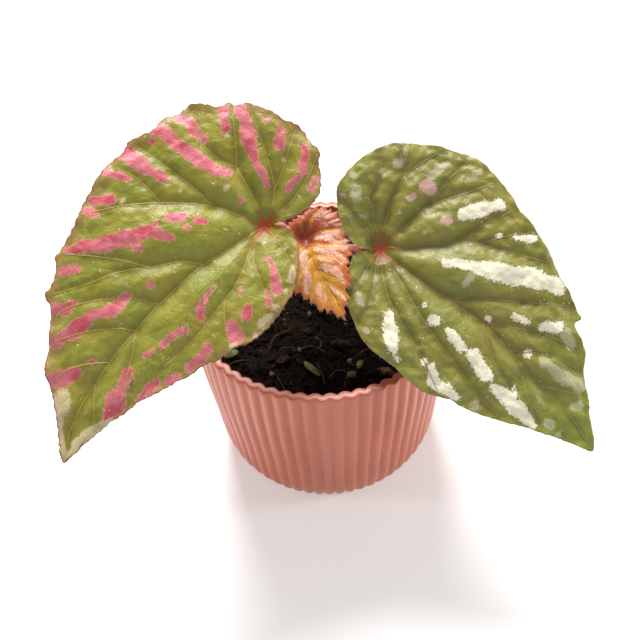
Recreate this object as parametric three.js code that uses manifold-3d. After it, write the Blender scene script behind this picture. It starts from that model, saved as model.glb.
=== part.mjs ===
// A young begonia in a fluted plastic pot: millimetres, +Z up, origin at the centre of the pot's base.
import * as THREE from 'three';
import { ParametricGeometry } from 'three/addons/geometries/ParametricGeometry.js';
import { mergeVertices } from 'three/addons/utils/BufferGeometryUtils.js';
import Module from 'manifold-3d';

const wasm = await Module();
wasm.setup();

const DEGREES = Math.PI / 180;

// Driving dimensions
const RIM_RADIUS = 50;
const POT_HEIGHT = 80;
const BASE_RADIUS = 36;
const WALL = 2.8;
const FLOOR = 2.6;
const FLUTES = 60;
const FLUTE_DEPTH = 1.1;
const FLUTE_START = -98.25 * DEGREES;
const STEPS_PER_FLUTE = 3;
const DRAIN_RADIUS = 2.4;
const DRAIN_CIRCLE = 22;
const DRAINS = 6;
const SOIL_TOP = 72;
const SOIL_DROP = 2;
const SOIL_CROWN_RADIUS = 18;
const SOIL_SHOULDER_RADIUS = 34;
const SOIL_SLOPE_WIDTH = 26;
const WALL_RADIUS_AT_SOIL = 49.3;
const GAP = 0.3;
const BLADE_THICKNESS = 0.9;
const BLADE_AROUND = 84;
const YOUNG_BLADE_AROUND = 40;
const BLADE_RINGS = 5;

const plant = new THREE.Group();

function addMesh(name, geometry, material) {
  const mesh = new THREE.Mesh(geometry, material);
  mesh.name = name;
  plant.add(mesh);
  return mesh;
}

function finish(color, roughness) {
  return new THREE.MeshStandardMaterial({ color, roughness, metalness: 0 });
}

const potPlastic = finish(0xb8644f, 0.42);
const darkMix = finish(0x17100c, 0.95);
const oliveBlade = finish(0x9a9a4a, 0.45);
const greyBlade = finish(0x8f9f83, 0.4);
const orangeBlade = finish(0xd8862c, 0.45);
const redStalk = finish(0x9c3b32, 0.5);
const brownStem = finish(0x7a5236, 0.6);
const paleSheath = finish(0xc98f7c, 0.6);
const bark = finish(0x5a3a22, 0.9);
const twigWood = finish(0x8a6a48, 0.85);
const perlite = finish(0xcfc8b8, 0.9);
const seedling = finish(0x6f9440, 0.6);

// Turns a closed geometry into a solid that can be cut.
function toSolid(geometry) {
  const bare = geometry.clone();
  bare.deleteAttribute('normal');
  bare.deleteAttribute('uv');
  const merged = mergeVertices(bare, 1e-3);
  return new wasm.Manifold(new wasm.Mesh({
    numProp: 3,
    vertProperties: merged.attributes.position.array,
    triVerts: new Uint32Array(merged.index.array),
  }));
}

function toGeometry(solid) {
  const mesh = solid.getMesh();
  const geometry = new THREE.BufferGeometry();
  geometry.setAttribute('position', new THREE.BufferAttribute(mesh.vertProperties, 3));
  geometry.setIndex(new THREE.BufferAttribute(mesh.triVerts, 1));
  geometry.computeVertexNormals();
  return geometry;
}

// The pot's outer radius at a height, measured over the crests of the flutes.
const wallCurve = new THREE.CatmullRomCurve3([
  new THREE.Vector3(39.5, 0, 0),
  new THREE.Vector3(44.2, 0, 10),
  new THREE.Vector3(46.6, 0, 32),
  new THREE.Vector3(48.8, 0, 56),
  new THREE.Vector3(RIM_RADIUS, 0, POT_HEIGHT),
]);
const WALL_STEPS = 5;

const WALL_FOOT = 2;

// Which of the wall's faces a point of the profile is on.
const OUTSIDE = 1;
const INSIDE = 2;
const SMOOTH = 0;

function potProfile() {
  const rows = [{ radius: 0, z: 0, side: SMOOTH }, { radius: BASE_RADIUS, z: 0, side: SMOOTH }];
  const wall = wallCurve.getSpacedPoints(WALL_STEPS);
  wall[0].z = WALL_FOOT;
  wall.forEach((p) => rows.push({ radius: p.x, z: p.z, side: OUTSIDE }));
  wall[0].z = FLOOR;
  wall.reverse().forEach((p) => rows.push({ radius: p.x - WALL, z: p.z, side: INSIDE }));
  rows.push({ radius: 0, z: FLOOR, side: SMOOTH });
  return rows;
}

// The flutes have rounded crests outside and the same waves inside, so the wall keeps one thickness.
function fluteShift(side, angle) {
  const phase = FLUTES / 2 * (angle - FLUTE_START);
  if (side === OUTSIDE) return -FLUTE_DEPTH * (1 - Math.abs(Math.cos(phase)));
  if (side === INSIDE) return -FLUTE_DEPTH * Math.abs(Math.sin(phase));
  return 0;
}

function makePot() {
  const rows = potProfile();
  const steps = FLUTES * STEPS_PER_FLUTE;
  const profile = rows.map((row) => new THREE.Vector2(row.radius, row.z));
  const lathe = new THREE.LatheGeometry(profile, steps).rotateX(Math.PI / 2);
  const place = lathe.attributes.position;
  const halfFlute = Math.PI / FLUTES;
  for (let i = 0; i < place.count; i += 1) {
    const row = rows[i % rows.length];
    const turn = Math.floor(i / rows.length) % steps;
    const angle = FLUTE_START + halfFlute + turn * 2 * Math.PI / steps;
    const radius = Math.max(0, row.radius + fluteShift(row.side, angle));
    place.setXYZ(i, radius * Math.cos(angle), radius * Math.sin(angle), row.z);
  }
  let pot = toSolid(lathe);
  const drainLength = 4 * FLOOR;
  for (let i = 0; i < DRAINS; i += 1) {
    const angle = i * 2 * Math.PI / DRAINS;
    const drain = new THREE.CylinderGeometry(DRAIN_RADIUS, DRAIN_RADIUS, drainLength, 16);
    drain.rotateX(Math.PI / 2);
    drain.translate(DRAIN_CIRCLE * Math.cos(angle), DRAIN_CIRCLE * Math.sin(angle), 0);
    pot = pot.subtract(toSolid(drain));
  }
  addMesh('pot', toGeometry(pot), potPlastic);
}

// The mix fills the pot to a low crown under the rim.
function makeMix() {
  const fit = WALL + FLUTE_DEPTH + GAP;
  const side = wallCurve.getSpacedPoints(WALL_STEPS).filter((p) => p.z < SOIL_TOP - SOIL_DROP - 1);
  side[0].z = FLOOR + GAP;
  const profile = [new THREE.Vector2(0, FLOOR + GAP)];
  side.forEach((p) => profile.push(new THREE.Vector2(p.x - fit, p.z)));
  profile.push(new THREE.Vector2(WALL_RADIUS_AT_SOIL - fit, SOIL_TOP - SOIL_DROP));
  profile.push(new THREE.Vector2(SOIL_SHOULDER_RADIUS, SOIL_TOP - SOIL_DROP / 2));
  profile.push(new THREE.Vector2(SOIL_CROWN_RADIUS, SOIL_TOP));
  profile.push(new THREE.Vector2(0, SOIL_TOP));
  const mix = new THREE.LatheGeometry(profile, 40).rotateX(Math.PI / 2);
  addMesh('potting_mix', mix, darkMix);
}

// A blade's own frame: u runs along the midrib, v across it and w out of the upper face, from the stalk.
function bladeFrame(place, headingDegrees, dropDegrees, rollDegrees) {
  const heading = headingDegrees * DEGREES;
  const drop = dropDegrees * DEGREES;
  const roll = rollDegrees * DEGREES;
  const along = new THREE.Vector3(Math.cos(heading) * Math.cos(drop), Math.sin(heading) * Math.cos(drop),
    -Math.sin(drop));
  const side = new THREE.Vector3(-Math.sin(heading), Math.cos(heading), 0);
  const lift = new THREE.Vector3().crossVectors(along, side);
  const across = side.multiplyScalar(Math.cos(roll)).addScaledVector(lift, Math.sin(roll));
  const out = new THREE.Vector3().crossVectors(along, across);
  return { place, along, across, out };
}

// How far the blade stands off its flat frame: it dips to the stalk and droops to its tip and edges.
function bladeRise(bow, u, v) {
  const reach = u * u + v * v;
  const dip = bow.dip * reach / (reach + bow.dipWidth * bow.dipWidth);
  return dip - bow.droop * Math.max(u, 0) ** 2 - bow.crown * v * v;
}

function bladeGeometry(frame, bow, outline, steps) {
  const corners = outline.map(([u, v]) => new THREE.Vector3(u, v, 0));
  if (!THREE.ShapeUtils.isClockWise(corners)) corners.reverse();
  const edge = new THREE.CatmullRomCurve3(corners, true, 'centripetal');
  const edgePoints = edge.getSpacedPoints(steps);
  const stacks = 2 * BLADE_RINGS + 1;
  function surface(around, through, target) {
    const row = Math.round(through * stacks);
    const upper = row <= BLADE_RINGS;
    const ring = (upper ? row : stacks - row) / BLADE_RINGS;
    const point = edgePoints[Math.round(around * steps) % steps];
    const u = point.x * ring;
    const v = point.y * ring;
    const half = BLADE_THICKNESS / 2 * (upper ? 1 : -1);
    target.copy(frame.place);
    target.addScaledVector(frame.along, u);
    target.addScaledVector(frame.across, v);
    target.addScaledVector(frame.out, bladeRise(bow, u, v) + half);
  }
  return new ParametricGeometry(surface, steps, stacks);
}

// Each outline runs once round the blade, starting in the notch behind the stalk.
const LEFT_OUTLINE = [
  [-2.4, 0], [-7, 4.5], [-12.5, 6.2], [-18, 6.3], [-23.5, 2.5], [-29, -3.5], [-30.5, -14.5], [-28, -23],
  [-24.5, -31.5], [-20.5, -36], [-14, -42], [-11.5, -44.5], [-6.5, -45], [-1.5, -47.5], [4, -47.5],
  [11.5, -50], [20, -49.5], [27, -48.7], [36, -46], [46, -42], [54, -40], [60, -35], [65, -34],
  [68, -29], [75, -22.5], [81.5, -17.7], [85, -11.8], [92.5, -1.6], [98.8, 7], [90, 7.8], [79, 9],
  [68, 11], [58, 14.6], [46, 17.8], [35.5, 21], [25, 24], [13.5, 22.7], [8.5, 21.5], [3, 17.5],
  [-2.6, 12.2], [-4.2, 7], [-2.7, 2.4],
];
const RIGHT_OUTLINE = [
  [-1.9, -2.2], [-6, -4.5], [-13.5, -2.8], [-19, 1], [-23.6, 6], [-24.8, 14], [-23, 24], [-19.5, 30],
  [-12, 36], [-2, 40.7], [4, 43.5], [10, 44], [17, 43], [24, 41.3], [34, 38.2], [40, 36], [47.5, 33],
  [54, 29.5], [60, 27], [67.5, 23], [68, 19.5], [76, 14.7], [82, 7.2], [89, 0.6], [93, -3],
  [98, -8.6], [89, -12], [77, -16.2], [68, -20.3], [54.5, -25], [41, -29.2], [29.5, -28.8],
  [18, -28.8], [9, -25.2], [2, -20], [-3, -13], [-5.2, -7.5], [-3, -3.4],
];
const YOUNG_OUTLINE = [
  [-7, -1], [-7.8, 4.8], [-7, 8.8], [-3.6, 12.6], [1, 13.6], [6, 13], [10.5, 11.5], [16, 8], [21.5, 6],
  [27, 2], [32.5, -3], [28.6, -6], [24, -9.6], [19, -12], [12, -14.3], [5, -12.6], [-1, -9.2],
  [-5, -5.2],
];

const LEFT_STALK_END = new THREE.Vector3(-16.9, -12, 126.9);
const RIGHT_STALK_END = new THREE.Vector3(20.9, -8, 109);
const YOUNG_STALK_END = new THREE.Vector3(-4.3, -1.8, 110);
const BROAD_BOW = { dip: 5, dipWidth: 12, droop: 0.0011, crown: 0.0016 };
const YOUNG_BOW = { dip: 4, dipWidth: 7, droop: 0.006, crown: 0.004 };

const leftFrame = bladeFrame(LEFT_STALK_END, -141, 20, -30);
const rightFrame = bladeFrame(RIGHT_STALK_END, -39, 20, 30);
const youngFrame = bladeFrame(YOUNG_STALK_END, -64, 14, 6);

function makeBlades() {
  const left = bladeGeometry(leftFrame, BROAD_BOW, LEFT_OUTLINE, BLADE_AROUND);
  addMesh('left_leaf_blade', left, oliveBlade);
  const right = bladeGeometry(rightFrame, BROAD_BOW, RIGHT_OUTLINE, BLADE_AROUND);
  addMesh('right_leaf_blade', right, greyBlade);
  const young = bladeGeometry(youngFrame, YOUNG_BOW, YOUNG_OUTLINE, YOUNG_BLADE_AROUND);
  addMesh('young_leaf_blade', young, orangeBlade);
}

// A round rod along a curve through the given points.
function rod(points, radius, sides, steps) {
  const section = new THREE.Shape();
  section.absarc(0, 0, radius, 0, 2 * Math.PI, false);
  const path = new THREE.CatmullRomCurve3(points.map(([x, y, z]) => new THREE.Vector3(x, y, z)));
  return new THREE.ExtrudeGeometry(section, {
    steps, curveSegments: sides / 2, bevelEnabled: false, extrudePath: path,
  });
}

const STEM_PATH = [[2.6, 12.6, 72.6], [2.2, 11.6, 84], [1.6, 10.6, 96.5]];
const STEM_RADIUS = 3.6;

function makeStemAndStalks() {
  addMesh('stem', rod(STEM_PATH, STEM_RADIUS, 12, 6), brownStem);
  const leftPath = [[-15.9, -10.9, 125.2], [-13.6, -3, 117.6], [-11, 5, 108], [-4, 8.6, 97.4]];
  addMesh('left_leaf_stalk', rod(leftPath, 1.6, 10, 12), redStalk);
  const rightPath = [[19.6, -7.2, 107.2], [14.4, -3.4, 104.2], [9.8, 2.2, 99.6], [6.4, 8, 92]];
  addMesh('right_leaf_stalk', rod(rightPath, 1.6, 10, 12), redStalk);
  const youngPath = [[-4, -1.2, 108.6], [-2.5, 1.8, 105.8], [-0.4, 5.4, 102.4], [0.8, 8, 98.4]];
  addMesh('young_leaf_stalk', rod(youngPath, 1.1, 8, 10), redStalk);
}

// A slim pointed scale: a stretched ball with a sharpened top.
function scaleGeometry(width, depth, height) {
  const profile = [
    new THREE.Vector2(0, 0),
    new THREE.Vector2(0.8, height * 0.06),
    new THREE.Vector2(1, height * 0.35),
    new THREE.Vector2(0.6, height * 0.7),
    new THREE.Vector2(0, height),
  ];
  return new THREE.LatheGeometry(profile, 10).rotateX(Math.PI / 2).scale(width / 2, depth / 2, 1);
}

function makeStemTip() {
  const bud = addMesh('tip_bud', scaleGeometry(2.4, 2, 6), orangeBlade);
  bud.position.set(2.6, 11.6, 97.2);
  bud.rotation.set(0.15, 0.2, 0);
  const leftScale = addMesh('left_sheath', scaleGeometry(3.4, 1, 7), paleSheath);
  leftScale.position.set(-0.2, 13.2, 97.2);
  leftScale.rotation.set(-0.3, -0.25, 0.9);
  const rightScale = addMesh('right_sheath', scaleGeometry(3.4, 1, 6.5), paleSheath);
  rightScale.position.set(4.6, 9.6, 97.4);
  rightScale.rotation.set(0.1, 0.5, -0.9);
}

// Loose pieces lying on the mix: [x, y, turn in degrees, length, width, height].
const BARK_CHIPS = [
  [6, -18.8, -12, 9, 3.4, 1.8],
  [21.4, -32, -28, 7, 3, 1.6],
  [-15.4, -24.6, 30, 6.5, 3, 1.5],
  [-5.2, -12.4, 4, 6.5, 2.6, 1.5],
  [-26, 14, 65, 8, 4, 1.8],
  [20, 22, -40, 9, 3.6, 1.8],
  [-6, 30, 15, 7, 3.4, 1.6],
  [34, -4, 80, 6, 3, 1.6],
];
const TWIGS = [
  [[-20.6, -20], [-18, -14.5], [-12, -11]],
  [[-9, -20.9], [-4.6, -19.8], [0, -23]],
  [[9.5, -26.8], [12.9, -24.4], [16.6, -22]],
  [[-3.2, -27], [-1.6, -33], [-0.6, -38]],
  [[-35, -26], [-31, -24.6], [-27, -24.4]],
  [[-30, 2], [-24, 4], [-19, 2]],
  [[8, 34], [14, 31], [22, 32]],
];
const PERLITE_LUMPS = [
  [8.6, -27.4, 1.1],
  [-5, -4, 1],
  [-19.4, -31.4, 1.1],
  [30, 14, 1.2],
  [-14, 24, 1.2],
];
const SEEDLING_LEAVES = [
  [-5, -30, -50, 9, 2.6],
  [9, -33.6, 20, 3.6, 3],
  [12.2, -29.4, 70, 4, 2.4],
  [-34, -21, 20, 6, 3.4],
];

// A height just over the mix, where a loose piece can lie.
function mixHeight(x, y) {
  const share = Math.max(0, (Math.hypot(x, y) - SOIL_CROWN_RADIUS) / SOIL_SLOPE_WIDTH);
  return SOIL_TOP - SOIL_DROP * Math.min(1, share) * 0.8;
}

function makeLoosePieces() {
  const chipTop = 0.36;
  const chipFoot = 0.5;
  BARK_CHIPS.forEach(([x, y, turn, length, width, height], index) => {
    const chip = new THREE.CylinderGeometry(chipTop, chipFoot, 1, 7, 1).rotateX(Math.PI / 2);
    const mesh = addMesh(`bark_chip_${index + 1}`, chip.scale(length, width, height), bark);
    mesh.position.set(x, y, mixHeight(x, y) + 2 * GAP + height / 2);
    mesh.rotation.z = turn * DEGREES;
  });
  const twigRadius = 0.45;
  TWIGS.forEach((route, index) => {
    const height = SOIL_TOP + 2 * GAP + twigRadius;
    const path = route.map(([x, y], step) => [x, y, height + (step === 1 ? 0.5 : 0)]);
    addMesh(`twig_${index + 1}`, rod(path, twigRadius, 6, 6), twigWood);
  });
  PERLITE_LUMPS.forEach(([x, y, radius], index) => {
    const lump = new THREE.IcosahedronGeometry(radius, 0);
    const mesh = addMesh(`perlite_${index + 1}`, lump, perlite);
    mesh.position.set(x, y, SOIL_TOP + GAP + radius);
  });
  SEEDLING_LEAVES.forEach(([x, y, turn, length, width], index) => {
    const leaf = new THREE.SphereGeometry(0.5, 10, 6);
    const thickness = 1;
    const mesh = addMesh(`seedling_leaf_${index + 1}`, leaf.scale(length, width, thickness), seedling);
    mesh.position.set(x, y, SOIL_TOP + GAP + thickness / 2);
    mesh.rotation.z = turn * DEGREES;
  });
}

makePot();
makeMix();
makeBlades();
makeStemAndStalks();
makeStemTip();
makeLoosePieces();

export default plant;
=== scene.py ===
import math
import random

import bmesh
import bpy
import numpy as np
from mathutils import Matrix, Vector, noise


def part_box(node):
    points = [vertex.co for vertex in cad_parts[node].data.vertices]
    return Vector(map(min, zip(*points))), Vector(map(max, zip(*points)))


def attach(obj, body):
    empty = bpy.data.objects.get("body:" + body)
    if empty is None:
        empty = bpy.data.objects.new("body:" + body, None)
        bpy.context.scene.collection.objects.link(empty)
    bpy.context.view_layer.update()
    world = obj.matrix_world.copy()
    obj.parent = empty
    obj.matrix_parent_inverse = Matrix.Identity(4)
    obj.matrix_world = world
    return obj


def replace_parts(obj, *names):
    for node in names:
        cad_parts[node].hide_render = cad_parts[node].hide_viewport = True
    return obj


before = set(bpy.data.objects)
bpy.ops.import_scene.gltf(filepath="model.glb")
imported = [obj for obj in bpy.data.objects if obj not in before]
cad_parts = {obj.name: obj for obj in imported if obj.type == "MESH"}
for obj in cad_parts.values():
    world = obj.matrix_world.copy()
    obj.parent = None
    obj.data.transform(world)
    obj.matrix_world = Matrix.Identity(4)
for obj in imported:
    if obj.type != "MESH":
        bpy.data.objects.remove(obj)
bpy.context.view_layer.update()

MM = 0.001
CHANCE_SEED = 7
noise.seed_set(CHANCE_SEED)


# ---------------------------------------------------------------- shader arithmetic

class Wire:
    """A shader socket that arithmetic can be done on."""

    def __init__(self, paint, socket):
        self.paint = paint
        self.socket = socket

    def math(self, operation, *others):
        values = dict(enumerate((self, *others)))
        return self.paint.node("ShaderNodeMath", {"operation": operation}, values)

    def __add__(self, other):
        return self.math("ADD", other)

    def __sub__(self, other):
        return self.math("SUBTRACT", other)

    def __mul__(self, other):
        return self.math("MULTIPLY", other)

    def __rsub__(self, other):
        return self * -1 + other

    __radd__ = __add__
    __rmul__ = __mul__

    def above(self, low, high):
        """0 under low, 1 over high and smooth between; low may be the larger one."""
        values = {"Value": self, "From Min": low, "From Max": high}
        return self.paint.node("ShaderNodeMapRange", {"interpolation_type": "SMOOTHSTEP"}, values)


class Paint:
    """One material, built node by node."""

    def __init__(self, name):
        self.material = bpy.data.materials.new(name)
        self.material.use_nodes = True
        self.tree = self.material.node_tree
        self.tree.nodes.clear()

    def node(self, kind, settings=None, values=None, output=0):
        made = self.tree.nodes.new(kind)
        for name, value in (settings or {}).items():
            setattr(made, name, value)
        for name, value in (values or {}).items():
            if isinstance(value, Wire):
                self.tree.links.new(value.socket, made.inputs[name])
            else:
                made.inputs[name].default_value = value
        return Wire(self, made.outputs[output] if made.outputs else None)

    def place(self):
        return self.node("ShaderNodeTexCoord", output=3)

    def attribute(self, name, output=2):
        return self.node("ShaderNodeAttribute", {"attribute_name": name}, output=output)

    def leaf_place(self):
        return self.attribute("leaf_place", output=1)

    def noise(self, where, scale, detail=3.0, roughness=0.55):
        values = {"Vector": where, "Scale": scale, "Detail": detail, "Roughness": roughness}
        return self.node("ShaderNodeTexNoise", {}, values)

    def cells(self, where, scale, feature="F1", output=0):
        values = {"Vector": where, "Scale": scale}
        return self.node("ShaderNodeTexVoronoi", {"feature": feature}, values, output)

    def stretched(self, where, scale):
        return self.node("ShaderNodeMapping", {}, {"Vector": where, "Scale": scale})

    def near(self, where, point):
        return self.node("ShaderNodeVectorMath", {"operation": "DISTANCE"}, {0: where, 1: point}, 1)

    def mix(self, mask, first, second):
        values = {0: mask, 6: solid(first), 7: solid(second)}
        return self.node("ShaderNodeMix", {"data_type": "RGBA"}, values, 2)

    def finish(self, colour, roughness, height=None, bump=0.1 * MM, **constants):
        values = {"Base Color": solid(colour), "Roughness": roughness}
        values.update({name.replace("_", " "): value for name, value in constants.items()})
        if height is not None:
            values["Normal"] = self.node("ShaderNodeBump", {}, {"Height": height, "Distance": bump})
        shader = self.node("ShaderNodeBsdfPrincipled", {}, values)
        self.node("ShaderNodeOutputMaterial", {}, {"Surface": shader})
        return self.material


def solid(colour):
    """A colour with its alpha, or the wire it already is."""
    return colour if isinstance(colour, Wire) else (*colour, 1.0)


# ---------------------------------------------------------------- curves and surfaces

def curve_through(corners, steps, closed=False):
    """Points on a smooth curve through the corners, with the given number of steps."""
    points = [np.array(corner, float) for corner in corners]
    if closed:
        padded = [points[-1], *points, points[0], points[1]]
    else:
        padded = [2 * points[0] - points[1], *points, 2 * points[-1] - points[-2]]
    knots = [0.0]
    for before, after in zip(padded, padded[1:]):
        knots.append(knots[-1] + max(np.linalg.norm(after - before), 1e-6) ** 0.5)
    dense = []
    per_span = 24
    for i in range(1, len(padded) - 2):
        t0, t1, t2, t3 = knots[i - 1:i + 3]
        p0, p1, p2, p3 = padded[i - 1:i + 3]
        for t in np.linspace(t1, t2, per_span, endpoint=False):
            a1 = (t1 - t) / (t1 - t0) * p0 + (t - t0) / (t1 - t0) * p1
            a2 = (t2 - t) / (t2 - t1) * p1 + (t - t1) / (t2 - t1) * p2
            a3 = (t3 - t) / (t3 - t2) * p2 + (t - t2) / (t3 - t2) * p3
            b1 = (t2 - t) / (t2 - t0) * a1 + (t - t0) / (t2 - t0) * a2
            b2 = (t3 - t) / (t3 - t1) * a2 + (t - t1) / (t3 - t1) * a3
            dense.append((t2 - t) / (t2 - t1) * b1 + (t - t1) / (t2 - t1) * b2)
    dense.append(padded[-2])
    dense = np.array(dense)
    run = np.r_[0, np.cumsum(np.linalg.norm(np.diff(dense, axis=0), axis=1))]
    wanted = np.linspace(0, run[-1], steps + 1)
    return np.stack([np.interp(wanted, run, dense[:, k]) for k in range(dense.shape[1])], 1)


def distance_to(route, widths, places):
    """How far each place is from a route, and how far along the route its nearest point is (0 to 1)."""
    if len(route) == 1:
        return np.linalg.norm(places - route[0], axis=1) - widths[0], np.zeros(len(places))
    best = np.full(len(places), np.inf)
    along = np.zeros(len(places))
    spans = len(route) - 1
    for i in range(spans):
        start, step = route[i], route[i + 1] - route[i]
        share = np.clip((places - start) @ step / max(step @ step, 1e-9), 0, 1)
        width = widths[i] + (widths[i + 1] - widths[i]) * share
        away = np.linalg.norm(places - start - share[:, None] * step, axis=1) - width
        closer = away < best
        best[closer] = away[closer]
        along[closer] = (i + share[closer]) / spans
    return best, along


def new_piece(name, bm, material, smooth=True):
    """Makes an object of a bmesh, in place, riding on the one body."""
    mesh = bpy.data.meshes.new(name)
    bm.to_mesh(mesh)
    bm.free()
    mesh.polygons.foreach_set("use_smooth", [smooth] * len(mesh.polygons))
    mesh.materials.append(material)
    piece = bpy.data.objects.new(name, mesh)
    bpy.context.scene.collection.objects.link(piece)
    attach(piece, "root")
    return piece


def rolled_grid(bm, columns, rows, place, layers=()):
    """Rolls a flat grid up into a closed skin: place(column, row) gives the corners, column running round.

    place also returns the values of the named layers, one array each."""
    floats = [bm.verts.layers.float.get(name) or bm.verts.layers.float.new(name) for name in layers]
    made = bmesh.ops.create_grid(bm, x_segments=columns, y_segments=rows, size=1.0)["verts"]
    flat = np.array([vert.co[:] for vert in made])
    column = np.rint((flat[:, 0] + 1) / 2 * columns).astype(int) % columns
    row = np.rint((flat[:, 1] + 1) / 2 * rows).astype(int)
    spots, values = place(column, row)
    for index, vert in enumerate(made):
        vert.co = spots[index]
        for layer, value in zip(floats, values):
            vert[layer] = value[index]
    bmesh.ops.remove_doubles(bm, verts=made, dist=1e-7)


def add_tube(bm, route, radii, sides, layers=(), extra=()):
    """A rod with closed, rounded ends along a route, in metres."""
    route = np.asarray(route, float)
    radii = np.asarray(radii, float)
    tangents = np.gradient(route, axis=0)
    tangents /= np.linalg.norm(tangents, axis=1)[:, None]
    up = np.array([0.0, 0.0, 1.0]) if abs(tangents[0][2]) < 0.9 else np.array([1.0, 0.0, 0.0])
    across = np.cross(tangents, up)
    across /= np.linalg.norm(across, axis=1)[:, None]
    over = np.cross(across, tangents)
    steps = len(route)
    stations = np.r_[0, 0, np.arange(steps), steps - 1, steps - 1]
    swell = np.r_[0, 0.7, np.ones(steps), 0.7, 0]
    push = np.r_[-1, -0.7, np.zeros(steps), 0.7, 1]

    def place(column, row):
        turn = 2 * np.pi * column / sides
        station = stations[row]
        radius = radii[station] * swell[row]
        spot = route[station] + tangents[station] * (push[row] * radii[station] * 0.8)[:, None]
        spot = spot + across[station] * (np.cos(turn) * radius)[:, None]
        spot = spot + over[station] * (np.sin(turn) * radius)[:, None]
        return spot, [value[station] for value in extra]

    before = len(bm.faces)
    rolled_grid(bm, sides, len(stations) - 1, place, layers)
    bm.faces.ensure_lookup_table()
    bmesh.ops.recalc_face_normals(bm, faces=bm.faces[before:])


def wavering(route, amount, scale, seed):
    """Shifts a route's points by a smooth random amount, in metres."""
    moved = []
    for point in route:
        shift = noise.noise_vector(Vector(point) * scale + Vector((seed, seed * 1.7, 0)))
        moved.append(np.asarray(point) + amount * np.array(shift))
    return np.array(moved)


# ---------------------------------------------------------------- the blades' own frames

# A blade folds sharply close to a vein and broadly further out; the rounding and the area are in mm2.
SHARP_FOLD = 0.6
BROAD_FOLD = 0.7
FOLD_ROUNDING = 0.35
HEART_AREA = 80

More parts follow.
